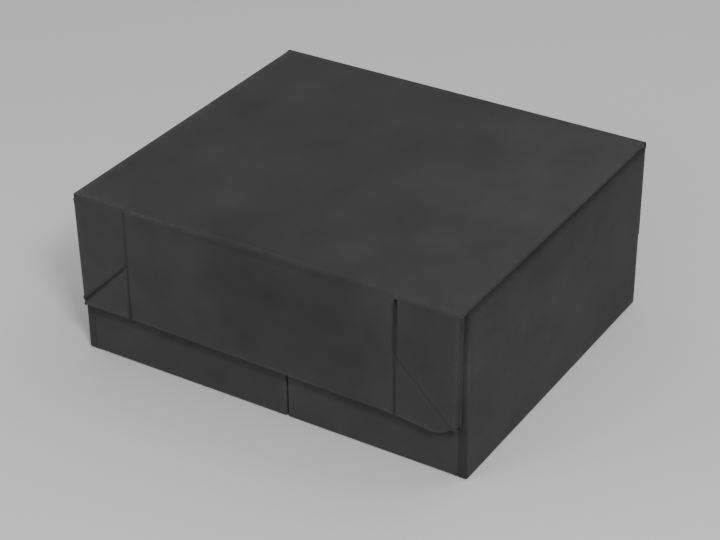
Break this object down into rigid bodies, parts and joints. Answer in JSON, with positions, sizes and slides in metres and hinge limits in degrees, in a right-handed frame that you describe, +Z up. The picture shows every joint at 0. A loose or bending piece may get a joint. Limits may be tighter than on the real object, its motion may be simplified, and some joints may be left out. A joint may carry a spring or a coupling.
{
  "type": "trading card drawer box",
  "caption": "Cloth-wrapped trading card box with a hinged lid, a folding front flap with gusseted corners, rows for upright cards and drawers below.",
  "frame": {"origin": "middle of the footprint, on the surface that the box stands on", "axes": "+X to the right along the front, -Y out of the front with the flap and drawers, +Z up"},
  "size_m": [0.36, 0.3172, 0.1517],
  "materials": {
    "wrapped_board": "charcoal microfibre cloth with a suede nap over stiff board",
    "inner_cloth": "dark smooth microfibre over board",
    "felt": "short dark felt",
    "magnet": "nickel-plated magnet"
  },
  "bodies": {
    "case": {"base_board": "wrapped_board", "left_side_board": "wrapped_board", "right_side_board": "wrapped_board", "back_board": "wrapped_board", "back_facing_board": "wrapped_board", "cover_back_panel": "wrapped_board", "shelf_board": "inner_cloth", "left_shelf_rail": "inner_cloth", "middle_shelf_rail": "inner_cloth", "right_shelf_rail": "inner_cloth", "front_wall": "inner_cloth", "front_facing_board": "inner_cloth", "main_partition": "inner_cloth", "left_row_partition": "inner_cloth", "right_row_partition": "inner_cloth", "drawer_divider": "wrapped_board", "row_1_pad": "felt", "row_2_pad": "felt", "row_3_pad": "felt", "row_4_pad": "felt", "left_wall_magnet": "magnet", "right_wall_magnet": "magnet", "left_catch_magnet": "magnet", "right_catch_magnet": "magnet"},
    "lid": {"lid_board": "wrapped_board", "lid_lining": "felt"},
    "flap_upper": {"flap_upper_board": "wrapped_board"},
    "flap_lower": {"flap_lower_board": "wrapped_board", "left_flap_magnet": "magnet", "right_flap_magnet": "magnet"},
    "left_wing": {"left_wing_board": "wrapped_board"},
    "right_wing": {"right_wing_board": "wrapped_board"},
    "left_outer_gusset": {"left_outer_gusset": "wrapped_board"},
    "right_outer_gusset": {"right_outer_gusset": "wrapped_board"},
    "left_inner_gusset": {"left_inner_gusset": "wrapped_board"},
    "right_inner_gusset": {"right_inner_gusset": "wrapped_board"},
    "left_drawer": {"left_drawer_front": "wrapped_board", "left_drawer_left_wall": "inner_cloth", "left_drawer_right_wall": "inner_cloth", "left_drawer_back": "inner_cloth", "left_drawer_floor": "inner_cloth", "left_drawer_pad": "felt", "left_drawer_magnet": "magnet"},
    "right_drawer": {"right_drawer_front": "wrapped_board", "right_drawer_left_wall": "inner_cloth", "right_drawer_right_wall": "inner_cloth", "right_drawer_back": "inner_cloth", "right_drawer_floor": "inner_cloth", "right_drawer_pad": "felt", "right_drawer_magnet": "magnet"}
  },
  "joints": [
    {"name": "lid_hinge", "type": "hinge", "parent": "case", "child": "lid", "pos_m": [0, 0.1586, 0.1517], "axis": [-1, 0, 0], "range_deg": [0, 180]},
    {"name": "flap_hinge", "type": "hinge", "parent": "lid", "child": "flap_upper", "pos_m": [0, -0.1586, 0.1517], "axis": [-1, 0, 0], "range_deg": [0, 180]},
    {"name": "flap_mid_fold", "type": "hinge", "parent": "flap_upper", "child": "flap_lower", "pos_m": [0, -0.1586, 0.099], "axis": [-1, 0, 0], "range_deg": [0, 75]},
    {"name": "left_wing_fold", "type": "hinge", "parent": "flap_upper", "child": "left_wing", "pos_m": [-0.1265, -0.1586, 0.099], "axis": [0, 0, 1], "range_deg": [0, 75]},
    {"name": "right_wing_fold", "type": "hinge", "parent": "flap_upper", "child": "right_wing", "pos_m": [0.1212, -0.1586, 0.099], "axis": [0, 0, -1], "range_deg": [0, 75]},
    {"name": "left_outer_gusset_fold", "type": "hinge", "parent": "left_wing", "child": "left_outer_gusset", "pos_m": [-0.1265, -0.1586, 0.099], "axis": [1, 0, 0], "range_deg": [0, 35]},
    {"name": "right_outer_gusset_fold", "type": "hinge", "parent": "right_wing", "child": "right_outer_gusset", "pos_m": [0.1212, -0.1586, 0.099], "axis": [1, 0, 0], "range_deg": [0, 35]},
    {"name": "left_inner_gusset_fold", "type": "hinge", "parent": "flap_lower", "child": "left_inner_gusset", "pos_m": [-0.1265, -0.1586, 0.099], "axis": [0, 0, -1], "range_deg": [0, 35]},
    {"name": "right_inner_gusset_fold", "type": "hinge", "parent": "flap_lower", "child": "right_inner_gusset", "pos_m": [0.1212, -0.1586, 0.099], "axis": [0, 0, 1], "range_deg": [0, 35]},
    {"name": "left_drawer_slide", "type": "slide", "parent": "case", "child": "left_drawer", "axis": [0, -1, 0], "range_m": [0, 0.25]},
    {"name": "right_drawer_slide", "type": "slide", "parent": "case", "child": "right_drawer", "axis": [0, -1, 0], "range_m": [0, 0.25]}
  ],
  "couplings": [
    {"joint": "left_wing_fold", "follows": "flap_mid_fold", "ratio": 1},
    {"joint": "right_wing_fold", "follows": "flap_mid_fold", "ratio": 1},
    {"joint": "left_outer_gusset_fold", "follows": "flap_mid_fold", "ratio": 0.46},
    {"joint": "right_outer_gusset_fold", "follows": "flap_mid_fold", "ratio": 0.46},
    {"joint": "left_inner_gusset_fold", "follows": "flap_mid_fold", "ratio": 0.46},
    {"joint": "right_inner_gusset_fold", "follows": "flap_mid_fold", "ratio": 0.46}
  ]
}
